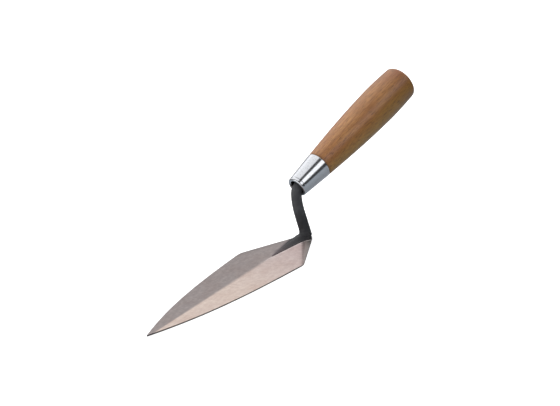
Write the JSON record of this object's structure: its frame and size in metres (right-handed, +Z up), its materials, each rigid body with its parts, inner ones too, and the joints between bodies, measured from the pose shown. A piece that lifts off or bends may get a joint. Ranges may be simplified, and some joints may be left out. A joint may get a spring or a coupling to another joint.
{
  "type": "pointing trowel",
  "caption": "Small pointed masonry trowel: ground steel blade, cranked black neck with a triangular foot, plated ferrule and turned wooden handle.",
  "frame": {"origin": "on the flat underside of the blade, on its centre line, at the shoulders, where the blade is widest", "axes": "+X points to the blade's point, away from the handle; +Z points up from the underside that the trowel rests on"},
  "size_m": [0.2764, 0.0696, 0.0796],
  "materials": {
    "ground_steel": "ground, fine cross scratches, slightly warm grey",
    "black_steel": "black forged scale, satin",
    "plated_steel": "bright plated, lightly drawn lengthwise",
    "lacquered_wood": "clear satin lacquer over mid-brown wood with lengthwise grain"
  },
  "bodies": {
    "root": {"blade": "ground_steel", "shank": "black_steel", "ferrule": "plated_steel", "handle": "lacquered_wood"}
  },
  "joints": []
}
